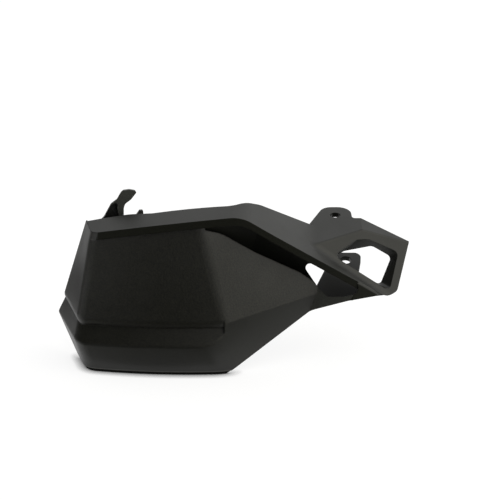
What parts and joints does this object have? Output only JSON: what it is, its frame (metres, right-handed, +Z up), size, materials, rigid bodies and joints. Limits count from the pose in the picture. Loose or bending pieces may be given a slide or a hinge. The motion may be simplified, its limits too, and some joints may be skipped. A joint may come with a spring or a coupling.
{
  "type": "motorcycle hand guard",
  "caption": "Faceted black moulded shield for a motorcycle handlebar, with a flared ledge, a diagonal strut, a window frame, bolt ears at its inner end and a bar-end hook at its outer end.",
  "frame": {"origin": "centre of the upper ear's bolt hole, at the ear's top face", "axes": "+X along the guard from its outer end to its inner end, -Y out of its front towards oncoming wind, +Z up"},
  "size_m": [0.3096, 0.116, 0.1502],
  "materials": {
    "guard_shell": "fine-grained moulded black, unpainted"
  },
  "bodies": {
    "root": {"guard_shell": "guard_shell"}
  },
  "joints": []
}
